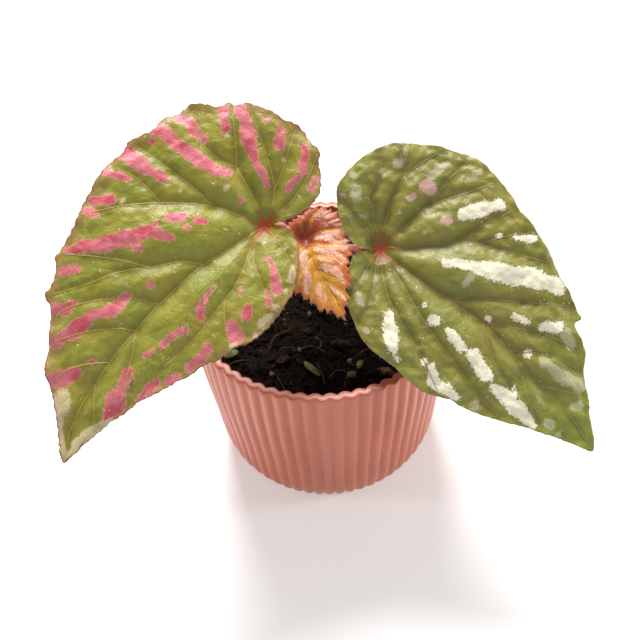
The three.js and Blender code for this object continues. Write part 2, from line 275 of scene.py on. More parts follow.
class Blade:
    """One leaf's frame: u runs along the midrib, v across it and w out of the upper face, in millimetres."""

    def __init__(self, stalk_end, heading, drop, roll, dip, dip_width, droop, crown, thickness):
        self.stalk_end = np.array(stalk_end)
        heading, drop, roll = (math.radians(angle) for angle in (heading, drop, roll))
        self.along = np.array([math.cos(heading) * math.cos(drop), math.sin(heading) * math.cos(drop),
                               -math.sin(drop)])
        side = np.array([-math.sin(heading), math.cos(heading), 0.0])
        self.across = side * math.cos(roll) + np.cross(self.along, side) * math.sin(roll)
        self.out = np.cross(self.along, self.across)
        self.dip = dip
        self.dip_width = dip_width
        self.droop = droop
        self.crown = crown
        self.thickness = thickness

    def outline(self, corners, steps, tooth, tooth_length):
        """The edge, once round, with fine uneven teeth that die away near the stalk."""
        edge = curve_through(corners, steps, closed=True)[:-1]
        run = np.r_[0, np.cumsum(np.linalg.norm(np.diff(edge, axis=0), axis=1))]
        tangent = np.roll(edge, -1, 0) - np.roll(edge, 1, 0)
        outward = np.stack([tangent[:, 1], -tangent[:, 0]], 1)
        outward /= np.linalg.norm(outward, axis=1)[:, None]
        area = np.sum(edge[:, 0] * np.roll(edge[:, 1], -1) - np.roll(edge[:, 0], -1) * edge[:, 1])
        outward *= math.copysign(1.0, area)
        uneven = np.array([noise.noise(Vector((s * 0.21, 3.1, 0))) for s in run])
        saw = np.abs(((run / tooth_length + uneven) % 1.0) * 2 - 1) - 0.5
        far = np.clip(np.linalg.norm(edge, axis=1) / 12.0, 0, 1)
        self.edge = edge + outward * (tooth * saw * far * (1 + uneven))[:, None]
        angle = np.unwrap(np.arctan2(self.edge[:, 1], self.edge[:, 0]))
        order = np.argsort(angle)
        self.edge_angle = angle[order]
        self.edge_reach = np.linalg.norm(self.edge, axis=1)[order]

    def veins_from(self, veins, groove, groove_width, wave):
        """Keeps each vein's route and strength, how deep the blade folds along it and how wavy it is."""
        self.wave = wave
        self.groove = groove
        self.groove_width = groove_width
        self.veins = []
        for corners, start, end in veins:
            steps = max(8, int(2.2 * len(corners) + np.hypot(*np.subtract(corners[-1], corners[0])) / 2))
            self.veins.append((curve_through(corners, steps), start, end))

    def reach(self, places):
        """How far out each place is, as a share of the way to the edge."""
        angle = np.arctan2(places[:, 1], places[:, 0])
        low = self.edge_angle[0]
        angle = (angle - low) % (2 * np.pi) + low
        return np.hypot(places[:, 0], places[:, 1]) / np.interp(angle, self.edge_angle, self.edge_reach)

    def vein_distance(self, places):
        nearest = np.full(len(places), np.inf)
        fold = np.zeros(len(places))
        for route, start, end in self.veins:
            away, along = distance_to(route, np.zeros(len(route)), places)
            nearest = np.minimum(nearest, away)
            strength = start + (end - start) * along
            soft = np.sqrt(away ** 2 + FOLD_ROUNDING)
            sharp = SHARP_FOLD * np.exp(-soft / self.groove_width)
            broad = BROAD_FOLD * np.exp(-soft / (3.0 * self.groove_width))
            fold += (strength * (sharp + broad)) ** 3
        deepest = 1.9
        near_heart = 0.5 + 0.5 * np.clip(np.sum(places ** 2, axis=1) / HEART_AREA, 0, 1)
        return nearest, deepest * np.tanh(np.cbrt(fold) / deepest) * near_heart

    def height(self, places, fold=None, reach=None):
        """The blade's rise over its flat frame."""
        if fold is None:
            fold = self.vein_distance(places)[1]
        if reach is None:
            reach = self.reach(places)
        u, v = places[:, 0], places[:, 1]
        away = u * u + v * v
        rise = self.dip * away / (away + self.dip_width ** 2)
        rise = rise - self.droop * np.maximum(u, 0) ** 2 - self.crown * v * v
        settle = np.clip(away / 30, 0, 1)
        fading = 1 - 0.6 * np.clip(reach, 0, 1) ** 4
        rise = rise + self.groove * (0.45 * settle - fold) * fading
        wave = np.sin(u * 0.33 + 0.4 * v) * np.clip(reach, 0, 1.1) ** 5
        broad_crinkle = [noise.noise((a * 0.15, b * 0.15, 4.0)) for a, b in places]
        fine_crinkle = [noise.noise((a * 0.42, b * 0.42, 9.0)) for a, b in places]
        crinkle = np.array(broad_crinkle) + 0.4 * np.array(fine_crinkle)
        return rise + self.wave * (0.5 * wave + crinkle * (0.3 + 0.9 * np.clip(reach, 0, 1)))

    def spots(self, places, lift):
        """Places on the blade in metres, lifted out of it by some millimetres."""
        spot = self.stalk_end + places[:, :1] * self.along + places[:, 1:] * self.across
        return (spot + lift[:, None] * self.out) * MM


def strayed(places, amount, scale):
    """Places shifted by a smooth random amount, so that what is drawn on them gets a wandering outline."""
    shift = [noise.noise_vector((a * scale, b * scale, 1.3))[:2] for a, b in places]
    return places + amount * np.array(shift)


def patch_depth(patches, places):
    """How deep inside a set of patches each place is, in millimetres: below zero is outside."""
    deepest = np.full(len(places), -4.0)
    places = strayed(strayed(places, 1.1, 0.22), 0.5, 0.6)
    for patch in patches:
        table = np.array(patch, float)
        route, widths = table[:, :2], table[:, 2]
        if len(route) > 2:
            fine = curve_through(table, 6 * len(table))
            route, widths = fine[:, :2], fine[:, 2]
        away, _ = distance_to(route, widths, places)
        deepest = np.maximum(deepest, -away)
    return deepest


def make_blade(name, blade, columns, rings, patches, material):
    """Rolls the grid into a thin blade: its upper face, round its edge and back along its under face."""
    rows = 2 * rings + 1
    half = blade.thickness / 2
    patch_names = list(patches)

    def place(column, row):
        upper = row <= rings
        ring = np.where(upper, row, rows - row) / rings
        share = ring ** 0.9
        places = blade.edge[column] * share[:, None]
        nearest, fold = blade.vein_distance(places)
        middle = blade.height(places, fold, share)
        thin = 1 - 0.55 * share ** 6
        lift = middle + np.where(upper, half, -half) * thin
        edge = (1 - share) * np.linalg.norm(blade.edge[column], axis=1)
        depths = [patch_depth(patches[key], places) for key in patch_names]
        values = [places[:, 0], places[:, 1], upper.astype(float), edge, nearest, *depths]
        return blade.spots(places, lift), values

    bm = bmesh.new()
    layers = ["leaf_u", "leaf_v", "upper_side", "from_edge", "from_vein", *patch_names]
    rolled_grid(bm, columns, rows, place, layers)
    bmesh.ops.recalc_face_normals(bm, faces=bm.faces)
    piece = new_piece(name, bm, material)
    mesh = piece.data
    count = len(mesh.vertices)
    u, v = np.zeros(count), np.zeros(count)
    mesh.attributes["leaf_u"].data.foreach_get("value", u)
    mesh.attributes["leaf_v"].data.foreach_get("value", v)
    where = mesh.attributes.new("leaf_place", "FLOAT_VECTOR", "POINT")
    where.data.foreach_set("vector", np.stack([u, v, np.zeros(count)], 1).ravel())
    return piece


def make_veins(name, blade, radius, material):
    """The raised veins: hardly proud of the upper face and bold on the under face."""
    bm = bmesh.new()
    proud = 0.09
    for route, start, end in blade.veins:
        strengths = np.linspace(start, end, len(route))
        radii = radius * strengths
        reach = blade.reach(route)
        kept = reach < 0.97
        if kept.sum() < 4:
            continue
        middle = blade.height(route)
        lift = middle + blade.thickness / 2 + proud - radii
        spots = blade.spots(route, lift)[kept]
        add_tube(bm, spots, radii[kept] * MM, 8)
    return new_piece(name, bm, material)


def add_hair(bm, root, direction, length, radius):
    turn = Vector((0, 0, 1)).rotation_difference(Vector(direction)).to_matrix().to_4x4()
    middle = Vector(root) + Vector(direction) * length / 2
    bmesh.ops.create_cone(bm, cap_ends=True, segments=3, radius1=radius, radius2=radius * 0.15,
                          depth=length, matrix=Matrix.Translation(middle) @ turn)


def make_edge_hairs(name, blade, spacing, length, material):
    """Short stiff hairs that stand out from the blade's edge."""
    chance = random.Random(name)
    bm = bmesh.new()
    edge = blade.edge
    count = len(edge)
    middle = blade.height(edge)
    spots = blade.spots(edge, middle)
    inner = blade.spots(edge * 0.97, blade.height(edge * 0.97))
    for index in range(0, count, spacing):
        if np.linalg.norm(edge[index]) < 6:
            continue
        direction = Vector(spots[index] - inner[index]).normalized()
        slant = Vector([chance.uniform(-0.5, 0.5) for _ in range(3)])
        direction = (direction + slant).normalized()
        add_hair(bm, spots[index], direction, length * chance.uniform(0.5, 1.1) * MM, 0.055 * MM)
    return new_piece(name, bm, material, smooth=False)


# ---------------------------------------------------------------- the two broad leaves and the young one

# Each outline runs once round the blade, starting in the notch behind the stalk.
LEFT_OUTLINE = [
    (-2.2, 1.4), (-7, 4.5), (-12.5, 6.2), (-18, 6.3), (-23.5, 2.5), (-26, -1), (-29, -3.5), (-29.2, -7.5),
    (-30.2, -11), (-30.5, -14.5), (-28.5, -19), (-28, -23), (-24.5, -31.5), (-21.5, -33.5),
    (-20.5, -36), (-17.5, -37), (-14, -42), (-11.5, -44.5), (-6.5, -45), (-1.5, -47.5), (2.5, -46.8),
    (6, -48), (11.5, -50), (14.5, -48.8), (20, -49.5), (27, -48.7), (31, -47.4), (36, -46), (41, -43.8),
    (46, -42), (51.5, -40.6), (54, -40.3), (56, -37.8), (61, -34.8), (65, -34), (66.2, -30.5),
    (71.5, -25.5), (75, -22.5), (81.5, -17.7), (85, -11.8), (88.5, -6.5), (92.5, -1.6), (97, 3.8),
    (98.8, 7), (95.5, 7.4), (90, 7.8), (84, 8.4), (79, 9), (73, 10.5), (68, 11), (64.5, 12.5),
    (58, 14.6), (51.5, 16.8), (46, 17.8), (41, 20), (35.5, 21), (30.5, 23.3), (25, 24), (19, 23.8),
    (13.5, 22.7), (8.5, 21.5), (3, 17.5), (-2.6, 12.2), (-4.2, 7), (-2.4, 2.3),
]
RIGHT_OUTLINE = [
    (-1.9, -2.0), (-6, -4.5), (-13.5, -2.8), (-19, 1), (-23.6, 6), (-24.6, 10.5), (-24.8, 15.5),
    (-23, 23), (-19.5, 30), (-15.5, 33), (-12, 36), (-6.5, 39.3), (-2, 40.7), (4, 43.5), (10, 44),
    (17, 43), (24, 41.3), (29, 39), (34, 38.2), (40, 36), (47.5, 33), (54, 29.3), (59, 27.6),
    (64.5, 24.7), (67.5, 23), (66.8, 20.8), (68, 19.4), (72, 17.7), (76, 14.7), (78.2, 11), (82, 7.2),
    (87, 3), (89.5, 0), (92.8, -2.8), (96.8, -6.6), (98, -8.8), (92.5, -10.8), (89, -12),
    (85.5, -13), (81.3, -14.8), (77, -16.2), (72, -18.5), (68, -20.3), (61.3, -23), (54.5, -25),
    (50.5, -25.5), (46.5, -27.4), (41, -29.2), (35.5, -29.2), (29.5, -28.6), (23, -28.9), (18, -28.8),
    (13.5, -27.5), (9, -25.2), (5.3, -23), (2, -20), (-3, -13), (-5.2, -7.5), (-3, -3.6),
]
YOUNG_OUTLINE = [
    (-7, -1), (-7.8, 4.8), (-7, 8.8), (-3.6, 12.6), (1, 13.6), (6, 13), (9, 13), (10.5, 11.3), (14, 10),
    (16, 8), (20.5, 5.6), (22.3, 5.6), (24.5, 3), (27.5, 2), (29.5, -0.8), (32.5, -3), (30, -4.4),
    (28.6, -6), (26.5, -8.2), (24, -9.6), (21.5, -10.6), (19, -12), (16, -13.8), (12, -14.3), (5, -12.6),
    (-1, -9.2), (-5, -5.2),
]

# Veins, each as its route from the stalk outwards and its strength at both ends.
LEFT_VEINS = [
    ([(0, 0), (3, -0.5), (13, -2.5), (23, -5), (29, -5.5), (42, -6), (53, -5.5), (66, -4.5), (74, -3),
      (83, -1), (91, 2), (97, 6)], 1.5, 0.3),
    ([(0, 0), (2, -3), (3.5, -8), (7.5, -16)], 1.2, 1.0),
    ([(7.5, -16), (12, -21.5), (18.5, -28.5), (27, -36), (36, -42)], 1.0, 0.3),
    ([(18.5, -28.5), (18, -33.5), (18, -38.5), (20.5, -47)], 0.7, 0.3),
    ([(7.5, -16), (7.5, -22), (8, -28), (9, -36), (10.5, -46)], 0.9, 0.3),
    ([(0, 0), (-1, -1.5), (-3, -6), (-4.5, -11), (-7, -19.5)], 1.2, 1.0),
    ([(-7, -19.5), (-10.5, -23), (-15, -28), (-19.5, -34)], 0.9, 0.3),
    ([(-7, -19.5), (-5, -24), (-5, -34), (-10.5, -42.5)], 0.9, 0.3),
    ([(0, 0), (-3, -0.5), (-7.5, -3.5), (-10, -5.5), (-13.5, -10), (-18.5, -19.5), (-23.5, -29.5)], 1.1, 0.3),
    ([(-10, -5.5), (-18, -8.5), (-22.5, -11), (-29, -14)], 0.8, 0.3),
    ([(0, 0), (-5.5, 0.5), (-11, 1), (-15.5, 0.5), (-22, -1), (-27.5, -3.3)], 0.9, 0.3),
    ([(0, 0), (6.5, 1), (15, 5), (21, 7), (27, 8), (34.5, 9), (42.5, 9.8), (55, 9)], 1.2, 0.4),
    ([(0, 0), (7.5, 2.6), (11.5, 6), (15, 13), (19.5, 21.5)], 1.0, 0.3),
    ([(0, 0), (0.5, 2.5), (1.5, 8), (3.5, 14), (7.5, 19.5)], 0.8, 0.3),
    ([(23, -5), (27.5, -10.5), (35.5, -16), (43, -22), (51, -25.8), (64, -33)], 1.0, 0.3),
    ([(35.5, -16), (40, -24), (45, -31), (51, -38.5)], 0.6, 0.25),
    ([(42, -6), (46.5, -13), (54, -20.5), (63, -26), (69, -27)], 0.9, 0.3),
    ([(53, -5.5), (56, -9.5), (64, -16.5), (73, -21.5)], 0.8, 0.3),
    ([(66, -4.5), (71, -9), (77, -12.5), (83, -13.5)], 0.6, 0.3),
    ([(53, -5.5), (60, -0.5), (67, 4), (72, 9)], 0.7, 0.3),
    ([(74, -3), (79, 1.5), (84, 6.5)], 0.5, 0.25),
    ([(27, 8), (31, 12), (36, 19)], 0.5, 0.25),
]
RIGHT_VEINS = [
    ([(0, 0), (2, -0.5), (9, -0.5), (21.5, 0), (28.5, 0.5), (36, 1), (43, 1.5), (51, 0.5), (60.5, -1),
      (70.5, -3), (79, -3), (88, -5.5), (96, -8.2)], 1.5, 0.3),
    ([(28.5, 0.5), (37, 7), (51, 16.5), (63, 25)], 1.1, 0.4),
    ([(43, 1.5), (47.5, 4.5), (53.5, 7.5), (59.5, 10.5), (67, 13), (75, 13)], 0.9, 0.3),
    ([(56, 0), (63, 4.5), (70, 8), (79, 9)], 0.8, 0.3),
    ([(70.5, -3), (76.5, 0), (83, 3)], 0.7, 0.3),
    ([(0, 0), (1, 1.5), (7, 5), (12, 9.5), (17, 14), (20, 19)], 1.2, 1.0),
    ([(20, 19), (23.5, 29.5), (26, 34.5), (27.5, 38.5)], 0.8, 0.3),
    ([(20, 19), (25.5, 21.5), (32, 24), (38.5, 27), (48, 31)], 0.9, 0.3),
    ([(25.5, 21.5), (31, 29), (37, 35.5)], 0.6, 0.25),
    ([(0, 0), (0.3, 2), (1.5, 6.5), (2, 9.5), (2.5, 14.5), (4, 22)], 1.1, 0.9),
    ([(4, 22), (9, 29), (15, 38), (17.5, 42)], 0.8, 0.3),
    ([(4, 22), (4, 27.5), (4, 33), (5, 41)], 0.8, 0.3),
    ([(0, 0), (-1.5, 2.5), (-3.5, 6), (-4.5, 9), (-6, 13), (-7.5, 18.5), (-8.5, 24.5), (-7, 31),
      (-4.5, 37)], 1.1, 0.3),
    ([(-8.5, 24.5), (-13, 29), (-17.5, 31)], 0.6, 0.3),
    ([(0, 0), (-3, 2.5), (-6, 5), (-8.5, 7), (-12, 11), (-14, 15.5), (-17.5, 22), (-21, 26)], 1.0, 0.3),
    ([(0, 0), (-3.5, 1.5), (-9, 2.5), (-15, 2.8), (-21.5, 5)], 0.8, 0.3),
    ([(0, 0), (0, -2), (0.5, -6), (1.5, -11), (2.6, -18)], 0.8, 0.3),
    ([(0, 0), (1, -2.5), (4.5, -8.5), (9, -16), (10.5, -24)], 1.0, 0.3),
    ([(0, 0), (2, -2), (6.5, -6.5), (13, -11.5), (22, -15.5), (31, -19), (37, -21.5), (45, -25.5)], 1.1, 0.3),
    ([(0, 0), (3, -1.2), (12.5, -4.5), (20, -7.5), (28, -10.5), (36, -13), (46.5, -15.6), (57, -18.5),
      (66, -19.5)], 1.2, 0.3),
    ([(60.5, -1), (67, -6.5), (75, -12), (80, -14)], 0.7, 0.3),
    ([(43, 1.5), (50, -4), (57, -8), (64, -10)], 0.6, 0.3),
]
YOUNG_VEINS = [
    ([(0, 0), (3, -1), (7.5, -2.5), (14, -3), (18, -3), (24, -3), (31.5, -3)], 1.5, 0.4),
    ([(0, 0), (1, 4), (3, 9), (5, 12.6)], 1.0, 0.4),
    ([(0, 0), (-2.5, 3), (-5, 6), (-6, 8.5)], 0.9, 0.4),
    ([(0, 0), (-3, 0.5), (-6.5, 1)], 0.8, 0.4),
    ([(3, -1), (6.5, 4), (10, 9.5)], 1.0, 0.4),
    ([(7.5, -2.5), (11.5, 3), (16, 7.2)], 1.0, 0.4),
    ([(14, -3), (17.5, -1), (22, 3.5)], 0.9, 0.4),
    ([(18, -3), (21, -1), (26.5, 1.5)], 0.8, 0.4),
    ([(0, 0), (0, -4), (-1, -8.2)], 1.0, 0.4),
    ([(3, -1), (6, -6), (8, -12)], 1.0, 0.4),
    ([(7.5, -2.5), (12, -7.5), (15, -13)], 1.0, 0.4),
    ([(13.5, -3), (18.5, -6.5), (22, -9.6)], 0.9, 0.4),
    ([(18, -3), (23, -5.5), (27, -7.2)], 0.8, 0.4),
]

# Patches of colour, each as a route with its half width at every point.
LEFT_PINK = [
    [(2, -46, 1.6), (1, -40.5, 2.1), (1, -34.5, 2.3), (0, -29.5, 2.3), (-0.5, -25, 2.1), (-3.5, -20, 1.8)],
    [(-5.5, -44, 1.8), (-6.5, -41, 1.9), (-6, -38, 1.9), (-5.5, -33, 1.5)],
    [(-17.5, -36, 1.8), (-13, -30.5, 1.5)],
    [(-21.5, -32, 1.9), (-19, -26.5, 2.1), (-15, -21, 2.4), (-13, -17.5, 1.5), (-11.5, -13, 1),
     (-9.5, -8, 1)],
    [(-25.5, -17.5, 1.8), (-21.5, -14, 1.9)],
    [(-24.5, -22.5, 1)],
    [(-26.5, -8.5, 1), (-24, -5.5, 1.5), (-20.5, -3, 1.5)],
    [(-18, -2.5, 1.1), (-13, -2.5, 1)],
    [(-22, 1.5, 1), (-18, 3, 1)],
    [(14.5, -47.5, 2.6), (14, -43, 2.6), (13, -38.5, 1.8), (12, -33, 1.3)],
    [(23.5, -48, 1.1), (21.5, -44, 1.4), (20, -40.5, 1)],
    [(6, -45, 1.3)],
    [(32.5, -44.5, 1.9), (29, -40.5, 1.8)],
    [(37, -43.5, 1.6), (35.5, -40.5, 1.4)],
    [(49.5, -39, 1.3), (45, -36, 2.2), (40.5, -31.5, 2.5), (36, -29, 2.7), (32, -26, 2.4), (28, -24, 2.2),
     (24.5, -18.5, 1.4)],
    [(34.5, -24, 0.9), (33, -21.5, 0.5)],
    [(26, -24.5, 1.3), (24, -25.5, 0.6)],
    [(20, -22.5, 1.6), (17, -20, 1.6)],
    [(18.5, -16.5, 1.4)],
    [(14.5, -16, 1), (13, -14, 1)],
    [(55.5, -35.5, 1.7), (52, -32.5, 1.9)],
    [(44, -17, 0.6)],
    [(39.5, -12, 1.4)],
    [(66, -29.5, 2.1), (63.5, -26, 2.1)],
    [(61, -26.5, 0.8), (60, -25, 0.6)],
    [(73.5, -22.5, 0.9), (69.5, -20.5, 1.9), (65, -19, 2.5), (60.5, -19, 2.1), (57, -17.5, 1.6),
     (52.5, -15, 2.2), (48, -15, 1.7)],
    [(74.5, -21.5, 0.9), (73, -19.5, 0.8)],
    [(70, -9, 0.8), (69, -8, 0.6)],
    [(82.5, -13.5, 2.5), (79.5, -11.5, 2.8), (75, -9.5, 1.4)],
    [(63, 2, 1.3), (69, 4, 1.9), (72.5, 5.5, 3.2), (78, 6.5, 1.9)],
    [(60.5, 10.5, 1.3), (65, 10.5, 1.4), (68.5, 10, 0.8)],
    [(57.5, 13, 1.3), (55, 14, 1.1)],
    [(56, 2, 0.9), (54, 3, 0.8)],
    [(50.5, 4, 1.4), (47, 4.5, 1.4), (42.5, 6, 1.3)],
    [(50, 15, 1.3), (45.5, 15.5, 1.6), (42, 15, 1.9)],
    [(29, 3, 1.1), (33, 4.5, 1.3), (36.5, 6.5, 1.3)],
    [(26, 2.5, 0.8)],
    [(20.5, 9.5, 0.6), (22, 10.5, 0.5)],
    [(23.5, 15, 1.4), (26, 17, 1.7)],
    [(31, 15.5, 2.2), (33, 18.5, 2.8)],
    [(7.5, 7.5, 0.6), (8, 10.5, 1), (9.5, 13.5, 1.6), (13, 17.5, 1.8)],
    [(16, 16, 0.8), (18, 18.5, 1)],
    [(0, -11, 1)],
]
LEFT_PALE = [
    [(86, -8.5, 1.6), (90, -3.5, 1.4), (94, 1, 1.4), (97.5, 5.5, 1.1)],
    [(96, 6, 1.1), (90.5, 6, 1.4), (84.5, 7, 1.4), (79, 8, 1.1)],
    [(83, -8, 2.2), (86, -4, 1.6)],
    [(4.5, 4, 0.6)], [(1, 10, 0.5)], [(0, -17, 1)], [(2, -21, 0.6)], [(1.5, 14, 0.5)],
    [(4.5, 16.5, 0.8), (7.5, 18.5, 1)],
    [(11.5, 20.5, 1)], [(17.5, 21, 1.3)],
    [(21, 21.5, 1.3), (24.5, 22, 1.1)],
    [(28, 22.5, 1.2)], [(35.5, 19.7, 1.1)], [(11.5, -27, 0.8)], [(13, -31, 0.8)], [(-19, -10, 0.8)],
    [(-12, -28.5, 0.6)], [(26.5, -37, 1.1)], [(10.5, -7.5, 0.6)], [(47, -27, 0.5)], [(31.5, -9.5, 0.5)],
    [(-13.5, 2.5, 0.6)], [(37.5, 13.5, 0.5)],
]
RIGHT_CREAM = [
    [(21, 9.5, 1.5), (28, 13.5, 2), (37, 18, 3.2), (45.5, 23, 3.5), (54.5, 26.5, 2.8)],
    [(15.5, 26.5, 2.5), (18.5, 30.5, 2.5), (22.5, 36, 2)],
    [(33.5, 31, 1.2), (38, 34, 1.3)],
    [(29, 28, 1)],
    [(16.5, -16, 1.7), (21.5, -21, 2.3), (25.5, -24.5, 1.8)],
    [(28.5, -25.5, 1)],
    [(29.5, -8.5, 1.5), (31, -8, 1.5)],
    [(24.5, -6, 0.8)],
    [(36, -8, 1.3), (42.5, -9.5, 1.8)],
    [(47, -9, 2.2), (54.5, -12, 2.2)],
    [(35.5, -21, 1.3)],
    [(39, -21, 1.5), (43.5, -24, 2), (49, -23.5, 2), (52, -23, 1.3)],
    [(59, -13.5, 1.3), (63, -13, 2.3), (67.5, -13.5, 2.7), (73.5, -14, 2.3), (77, -14.5, 1.3)],
    [(66, -12, 1.3), (64.5, -8.5, 0.5)],
    [(59.5, 13, 1.8), (63, 16, 2)],
    [(49.5, 9.5, 1.2), (52, 10.5, 1), (55, 11.5, 0.5)],
    [(43.5, 4, 1.3)],
    [(60.5, 3, 1.3)],
]
RIGHT_BEIGE = [
    [(63.5, 15.5, 1.3), (67.5, 15.5, 1.8), (70.5, 14, 1.5)],
    [(66, 4, 1.2), (71, 4, 2), (76.5, 4.5, 2.2), (81, 5, 1.8)],
    [(84.5, -0.5, 1.8)], [(81, -11, 2)], [(85.5, -11.5, 1)], [(58, -22, 1.8)],
    [(5, -17, 1.2), (7, -18.5, 1)],
    [(14.5, -25, 1.2)], [(-17.5, 9, 2.6)], [(-22, 13.5, 1.5)], [(-13, 26, 1.9)],
    [(-13.5, 29.5, 0.9), (-14.5, 33, 0.5)],
    [(-1.5, 29.5, 1.5), (-0.5, 33, 1.5), (0.5, 36, 1.4)],
    [(-1, 39.3, 0.8)], [(2, 40, 0.7)],
    [(9, 36, 1), (10, 39.5, 1.2), (10.5, 42, 0.8)],
    [(-14, 19.5, 0.8)], [(-21, 6, 0.9)], [(8.5, 13.5, 0.7)], [(14, 6, 0.7)], [(-2, 13.5, 0.7)],
    [(-11.5, 5, 0.7)],
    [(30.5, 8, 1.2), (30.5, 11.5, 1.5)],
]
RIGHT_ROSY = [[(-2.5, 20, 1.5)], [(0, 26, 2.7)], [(12, 21, 2.2)]]
YOUNG_STRIPES = [
    [(2, 3, 0.9), (5.5, 6.5, 1), (8.5, 8, 1), (9.5, 12, 0.9)],
    [(6.5, 0.5, 0.7), (9, 2.5, 1), (12, 5, 1), (15, 7, 0.8)],
    [(13.5, -1, 0.8), (16, 1, 1.2), (19.5, 3, 1.2), (22, 3, 0.8)],
    [(21, -1.5, 0.7), (24, -0.5, 1), (27, 0, 0.7)],
    [(5, -3.5, 1.3), (14, -7, 1.5), (19, -9, 1.3)],
    [(18, -4.5, 0.7), (20.5, -5.5, 1), (25, -6, 0.7)],
    [(3, -8, 0.9), (7, -11, 1.2), (12, -12.5, 0.9)],
]

left = Blade((-16.9, -12, 126.9), -141, 20, -30, 5, 12, 0.0011, 0.0016, 0.55)
right = Blade((20.9, -8, 109), -39, 20, 30, 5, 12, 0.0011, 0.0016, 0.55)
young = Blade((-4.3, -1.8, 110), -64, 14, 6, 4, 7, 0.006, 0.004, 0.45)
left.outline(LEFT_OUTLINE, 420, 0.45, 3.1)
right.outline(RIGHT_OUTLINE, 420, 0.22, 4.3)
young.outline(YOUNG_OUTLINE, 300, 1.5, 2.9)
left.veins_from(LEFT_VEINS, 3.5, 2.3, 0.8)
right.veins_from(RIGHT_VEINS, 4.2, 2.4, 1.0)
young.veins_from(YOUNG_VEINS, 2.2, 1.1, 0.4)


# ---------------------------------------------------------------- finishes

def blade_grain(paint, where):
    """The fine net of small veins and the pebbled skin between them: two line masks and a height."""
    net = paint.cells(where, 0.2, "DISTANCE_TO_EDGE")
    fine_net = paint.cells(where, 0.8, "DISTANCE_TO_EDGE")
    pebbles = paint.cells(where, 3.2)
    swell = paint.noise(where, 0.3, 2.0)
    lines = 1 - net.above(0.0, 0.12)
    fine_lines = 1 - fine_net.above(0.0, 0.16)
    height = swell * 0.5 - lines * 0.16 - fine_lines * 0.1 - pebbles * 0.16
    return lines, fine_lines, height


def ragged(paint, where, depth_name, wildness=5.5):
    """A patch's mask with a torn, speckled edge."""
    tear = paint.noise(where, 1.3, 4.0, 0.8) - 0.5
    return (paint.attribute(depth_name) + tear * wildness).above(-0.08, 0.14)


def left_blade_finish():
    paint = Paint("olive blade with pink patches")
    where = paint.leaf_place()
    lines, fine_lines, height = blade_grain(paint, where)
    cloud = paint.noise(where, 0.06, 2.0)
    mottle = paint.noise(where, 0.35, 4.0, 0.65)
    from_vein = paint.attribute("from_vein")
    green = paint.mix(cloud.above(0.35, 0.65), (0.28, 0.235, 0.012), (0.215, 0.225, 0.014))
    green = paint.mix(mottle.above(0.3, 0.75) * 0.5, green, (0.32, 0.30, 0.06))
    # Painted shade: dark olive laid along every vein, standing in for the shade in the folded valleys beside
    # it.
    green = paint.mix(from_vein.above(3.0, 0.3) * 0.4, green, (0.16, 0.145, 0.004))
    green = paint.mix(lines * 0.08, green, (0.36, 0.34, 0.09))
    green = paint.mix(fine_lines * 0.08, green, (0.12, 0.15, 0.02))
    from_edge = paint.attribute("from_edge")
    green = paint.mix(from_edge.above(6.0, 0.5) * 0.45, green, (0.38, 0.20, 0.09))
    pink = ragged(paint, where, "pink")
    flush = paint.noise(where, 0.09, 2.0).above(0.45, 0.62)
    rose = paint.mix(flush, (0.60, 0.155, 0.18), (0.51, 0.065, 0.095))
    rose = paint.mix(mottle.above(0.45, 0.7) * 0.45, rose, (0.67, 0.235, 0.255))
    rose = paint.mix(paint.attribute("pink").above(0.5, 0.05) * 0.5, rose, (0.76, 0.36, 0.31))
    pores = paint.cells(where, 0.42)
    rose = paint.mix(pores.above(0.24, 0.1) * 0.45, rose, (0.46, 0.07, 0.13))
    rose = paint.mix(pores.above(0.09, 0.05) * 0.9, rose, (0.12, 0.015, 0.04))
    colour = paint.mix(pink, green, rose)
    colour = paint.mix(ragged(paint, where, "pale", 4.0) * 0.85, colour, (0.58, 0.47, 0.28))
    speck_cells = paint.cells(where, 0.55)
    rare = paint.noise(where, 0.16, 1.0).above(0.58, 0.66)
    colour = paint.mix(speck_cells.above(0.16, 0.1) * rare, colour, (0.80, 0.74, 0.38))
    colour = paint.mix(from_edge.above(0.75, 0.25), colour, (0.28, 0.10, 0.05))
    heart = paint.near(where, (0, 0, 0))
    colour = paint.mix(heart.above(3.6, 1.2) * 0.9, colour, (0.52, 0.075, 0.015))
    under = paint.mix(mottle.above(0.35, 0.7), (0.27, 0.12, 0.06), (0.23, 0.17, 0.06))
    under = paint.mix(pink * 0.8, under, (0.55, 0.17, 0.18))
    under = paint.mix(from_edge.above(6.0, 0.3) * 0.6, under, (0.36, 0.10, 0.07))
    colour = paint.mix(paint.attribute("upper_side").above(0.4, 0.6), under, colour)
    gloss = mottle * 0.1 + 0.40
    return paint.finish(colour, gloss, height, 0.3 * MM, Specular_IOR_Level=0.45, Subsurface_Weight=0.08,
                        Subsurface_Radius=(1.0, 0.7, 0.2), Subsurface_Scale=1.2 * MM)


